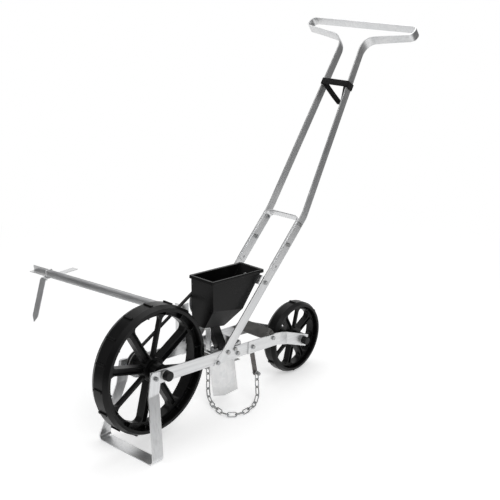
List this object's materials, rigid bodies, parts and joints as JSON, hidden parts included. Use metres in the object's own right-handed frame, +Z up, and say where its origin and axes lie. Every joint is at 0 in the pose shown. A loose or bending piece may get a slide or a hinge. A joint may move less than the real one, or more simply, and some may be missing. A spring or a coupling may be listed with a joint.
{
  "type": "walk-behind seed planter",
  "caption": "Walk-behind seed planter: spoked wheels, belt-driven seed plate in an open hopper, ground opener, drag chain, row marker, kickstand and a tee handle.",
  "frame": {"origin": "on the ground under the middle of the kickstand's flat foot", "axes": "+X to the machine's left, -Y the way it is pushed, +Z up"},
  "size_m": [0.881, 1.0229, 0.9711],
  "materials": {
    "bar_aluminium": "mill-finish flat bar with fine drawing lines",
    "black_plastic": "moulded black plastic, satin",
    "zinc_steel": "zinc-plated steel",
    "sheet_steel": "galvanised sheet",
    "dark_steel": "dark painted steel strip",
    "belt_rubber": "black rubber",
    "webbing": "black woven webbing",
    "bearing_bronze": "plain bronze bush"
  },
  "bodies": {
    "frame": {"left_front_bar": "bar_aluminium", "right_front_bar": "bar_aluminium", "left_rear_arm": "bar_aluminium", "right_rear_arm": "bar_aluminium", "left_lower_handle": "bar_aluminium", "right_lower_handle": "bar_aluminium", "upper_handle": "bar_aluminium", "handle_brace": "bar_aluminium", "marker_post": "bar_aluminium", "cross_strip": "bar_aluminium", "hopper_support": "bar_aluminium", "hopper_rear_bracket": "bar_aluminium", "opener_yoke": "bar_aluminium", "hopper": "black_plastic", "seed_chute": "black_plastic", "axle_caps": "black_plastic", "wheel_spacers": "black_plastic", "kickstand_bolts": "zinc_steel", "kickstand_nuts": "zinc_steel", "handle_bolts": "zinc_steel", "handle_nuts": "zinc_steel", "frame_bolts": "zinc_steel", "frame_nuts": "zinc_steel", "hopper_bolts": "zinc_steel", "hopper_nuts": "zinc_steel", "chute_screws": "zinc_steel", "front_axle": "zinc_steel", "rear_axle": "zinc_steel", "axle_washers": "zinc_steel", "chain_bolts": "zinc_steel", "chain_nuts": "zinc_steel", "arm_pivot_bolt": "zinc_steel", "arm_pivot_nut": "zinc_steel", "post_spacer": "zinc_steel", "tail_strip": "dark_steel", "left_chain_strap": "dark_steel", "right_chain_strap": "dark_steel", "drive_belt": "belt_rubber", "handle_strap": "webbing", "shaft_bush": "bearing_bronze"},
    "front_wheel": {"front_wheel": "black_plastic", "front_wheel_bushes": "bearing_bronze", "drive_pulley": "bar_aluminium", "pulley_screws": "zinc_steel"},
    "rear_wheel": {"rear_wheel": "black_plastic", "rear_wheel_bushes": "bearing_bronze"},
    "seed_drive": {"seed_plate": "black_plastic", "plate_hub": "black_plastic", "plate_retainer": "black_plastic", "driven_pulley": "bar_aluminium", "pulley_nut": "zinc_steel"},
    "kickstand": {"kickstand": "bar_aluminium"},
    "marker_arm": {"marker_arm": "bar_aluminium"},
    "marker": {"row_marker": "bar_aluminium", "marker_clip": "zinc_steel", "marker_clip_nuts": "zinc_steel"},
    "opener": {"ground_opener": "sheet_steel", "depth_bolt": "zinc_steel", "depth_wing_nut": "zinc_steel"},
    "chain": {"drag_chain": "zinc_steel"}
  },
  "joints": [
    {"name": "front_wheel_spin", "type": "hinge", "parent": "frame", "child": "front_wheel", "pos_m": [0, 0.076, 0.197], "axis": [1, 0, 0], "continuous": true},
    {"name": "rear_wheel_spin", "type": "hinge", "parent": "frame", "child": "rear_wheel", "pos_m": [0, 0.6205, 0.107], "axis": [1, 0, 0], "continuous": true},
    {"name": "seed_plate_turn", "type": "hinge", "parent": "frame", "child": "seed_drive", "pos_m": [-0.03, 0.312, 0.3], "axis": [1, 0, 0], "continuous": true},
    {"name": "kickstand_fold", "type": "hinge", "parent": "frame", "child": "kickstand", "pos_m": [0, 0.04016, 0.20039], "axis": [-1, 0, 0], "range_deg": [-20, 100]},
    {"name": "marker_arm_fold", "type": "hinge", "parent": "frame", "child": "marker_arm", "pos_m": [-0.075, 0.2427, 0.282], "axis": [0, 1, 0], "range_deg": [-10, 85]},
    {"name": "marker_slide", "type": "slide", "parent": "marker_arm", "child": "marker", "axis": [0.9984, 0, 0.0558], "range_m": [-0.07, 0.42]},
    {"name": "opener_depth", "type": "slide", "parent": "frame", "child": "opener", "axis": [0, -0.1392, 0.9903], "range_m": [-0.022, 0.01]},
    {"name": "chain_swing", "type": "hinge", "parent": "frame", "child": "chain", "pos_m": [0.058, 0.40526, 0.0841], "axis": [-0.8137, -0.5767, 0.0731], "range_deg": [0, 20]}
  ],
  "couplings": [
    {"joint": "seed_plate_turn", "follows": "front_wheel_spin", "ratio": 0.69565}
  ]
}
